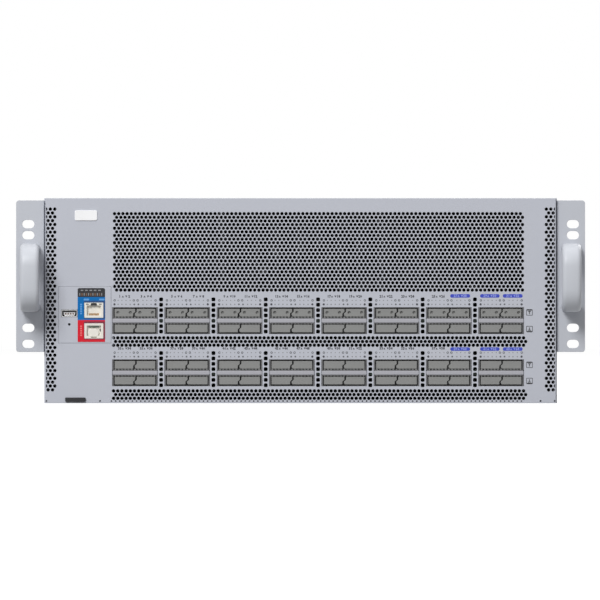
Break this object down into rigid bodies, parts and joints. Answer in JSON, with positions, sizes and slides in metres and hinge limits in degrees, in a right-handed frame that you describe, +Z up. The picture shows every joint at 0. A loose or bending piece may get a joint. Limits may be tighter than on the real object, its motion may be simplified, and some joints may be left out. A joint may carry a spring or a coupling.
{
  "type": "data center spine switch",
  "caption": "Rack-mounted network switch chassis with a perforated face, rows of plugged port cages, rack ears, and rear fan modules and power supplies.",
  "frame": {"origin": "centre of the overall box at its bottom, on the floor sheet's underside", "axes": "+X to the right seen from the front, +Y to the rear, +Z up"},
  "size_m": [0.4826, 0.764, 0.174],
  "materials": {
    "panel_paint": "satin paint",
    "zinc_sheet": "plated sheet",
    "handle_grey": "satin",
    "cage_metal": "nickel plated",
    "plug_grey": "matte",
    "board_green": "solder mask",
    "chip_black": "moulded",
    "sink_metal": "extruded",
    "label_blue": "printed film",
    "jack_cream": "moulded",
    "port_steel": "plated shell",
    "plate_white": "moulded",
    "tag_dark": "moulded",
    "fan_plastic": "moulded",
    "supply_metal": "plated sheet",
    "latch_blue": "moulded"
  },
  "bodies": {
    "chassis": {"chassis_tray": "panel_paint", "top_cover": "panel_paint", "front_panel": "panel_paint", "rack_ear_left": "panel_paint", "rack_ear_right": "panel_paint", "front_handle_left": "handle_grey", "front_handle_right": "handle_grey", "management_plate": "panel_paint", "management_label": "label_blue", "management_board": "board_green", "management_jack": "jack_cream", "console_jack": "jack_cream", "usb_port": "port_steel", "name_plate": "plate_white", "info_tag_sleeve": "zinc_sheet", "upper_port_board": "board_green", "lower_port_board": "board_green", "board_posts": "zinc_sheet", "switch_chip": "chip_black", "chip_heatsink": "sink_metal", "cpu_board": "board_green", "cpu_heatsink": "sink_metal", "fan_bay_frame": "zinc_sheet", "rear_vent_panel": "panel_paint", "fan_board": "board_green", "power_board": "board_green", "port_cages_row_1": "cage_metal", "dust_plugs_row_1": "plug_grey", "port_cages_row_2": "cage_metal", "dust_plugs_row_2": "plug_grey", "port_cages_row_3": "cage_metal", "dust_plugs_row_3": "plug_grey", "port_cages_row_4": "cage_metal", "dust_plugs_row_4": "plug_grey"},
    "info_tag_body": {"info_tag": "tag_dark"},
    "reset_button_body": {"reset_button": "tag_dark"},
    "fan_module_1": {"fan_1_frame": "fan_plastic", "fan_1_grille": "supply_metal", "fan_1_handle": "tag_dark"},
    "fan_rotor_1": {"fan_1_rotor": "fan_plastic"},
    "fan_module_2": {"fan_2_frame": "fan_plastic", "fan_2_grille": "supply_metal", "fan_2_handle": "tag_dark"},
    "fan_rotor_2": {"fan_2_rotor": "fan_plastic"},
    "fan_module_3": {"fan_3_frame": "fan_plastic", "fan_3_grille": "supply_metal", "fan_3_handle": "tag_dark"},
    "fan_rotor_3": {"fan_3_rotor": "fan_plastic"},
    "power_supply_1": {"psu_1_case": "supply_metal", "psu_1_inlet": "tag_dark", "psu_1_handle": "tag_dark"},
    "supply_rotor_1": {"psu_1_rotor": "fan_plastic"},
    "supply_latch_1": {"psu_1_latch": "latch_blue"},
    "power_supply_2": {"psu_2_case": "supply_metal", "psu_2_inlet": "tag_dark", "psu_2_handle": "tag_dark"},
    "supply_rotor_2": {"psu_2_rotor": "fan_plastic"},
    "supply_latch_2": {"psu_2_latch": "latch_blue"}
  },
  "joints": [
    {"name": "fan_1_slide", "type": "slide", "parent": "chassis", "child": "fan_module_1", "axis": [0, 1, 0], "range_m": [0, 0.12]},
    {"name": "fan_1_spin", "type": "hinge", "parent": "fan_module_1", "child": "fan_rotor_1", "pos_m": [-0.1535, 0.334, 0.1114], "axis": [0, 1, 0], "continuous": true},
    {"name": "fan_2_slide", "type": "slide", "parent": "chassis", "child": "fan_module_2", "axis": [0, 1, 0], "range_m": [0, 0.12]},
    {"name": "fan_2_spin", "type": "hinge", "parent": "fan_module_2", "child": "fan_rotor_2", "pos_m": [-0.009, 0.334, 0.1114], "axis": [0, 1, 0], "continuous": true},
    {"name": "fan_3_slide", "type": "slide", "parent": "chassis", "child": "fan_module_3", "axis": [0, 1, 0], "range_m": [0, 0.12]},
    {"name": "fan_3_spin", "type": "hinge", "parent": "fan_module_3", "child": "fan_rotor_3", "pos_m": [0.1355, 0.334, 0.1114], "axis": [0, 1, 0], "continuous": true},
    {"name": "psu_1_slide", "type": "slide", "parent": "chassis", "child": "power_supply_1", "axis": [0, 1, 0], "range_m": [0, 0.27]},
    {"name": "psu_1_spin", "type": "hinge", "parent": "power_supply_1", "child": "supply_rotor_1", "pos_m": [-0.1547, 0.336, 0.02575], "axis": [0, 1, 0], "continuous": true},
    {"name": "psu_1_release", "type": "hinge", "parent": "power_supply_1", "child": "supply_latch_1", "pos_m": [-0.1312, 0.3558, 0.02575], "axis": [0, 0, 1], "range_deg": [0, 10], "stiffness_Nm_per_rad": 0.08},
    {"name": "psu_2_slide", "type": "slide", "parent": "chassis", "child": "power_supply_2", "axis": [0, 1, 0], "range_m": [0, 0.27]},
    {"name": "psu_2_spin", "type": "hinge", "parent": "power_supply_2", "child": "supply_rotor_2", "pos_m": [0.1867, 0.336, 0.02575], "axis": [0, 1, 0], "continuous": true},
    {"name": "psu_2_release", "type": "hinge", "parent": "power_supply_2", "child": "supply_latch_2", "pos_m": [0.2102, 0.3558, 0.02575], "axis": [0, 0, 1], "range_deg": [0, 10], "stiffness_Nm_per_rad": 0.08},
    {"name": "info_tag_slide", "type": "slide", "parent": "chassis", "child": "info_tag_body", "axis": [0, -1, 0], "range_m": [0, 0.07]},
    {"name": "reset_button_press", "type": "slide", "parent": "chassis", "child": "reset_button_body", "axis": [0, 1, 0], "range_m": [0, 0.0008], "stiffness_N_per_m": 400}
  ]
}
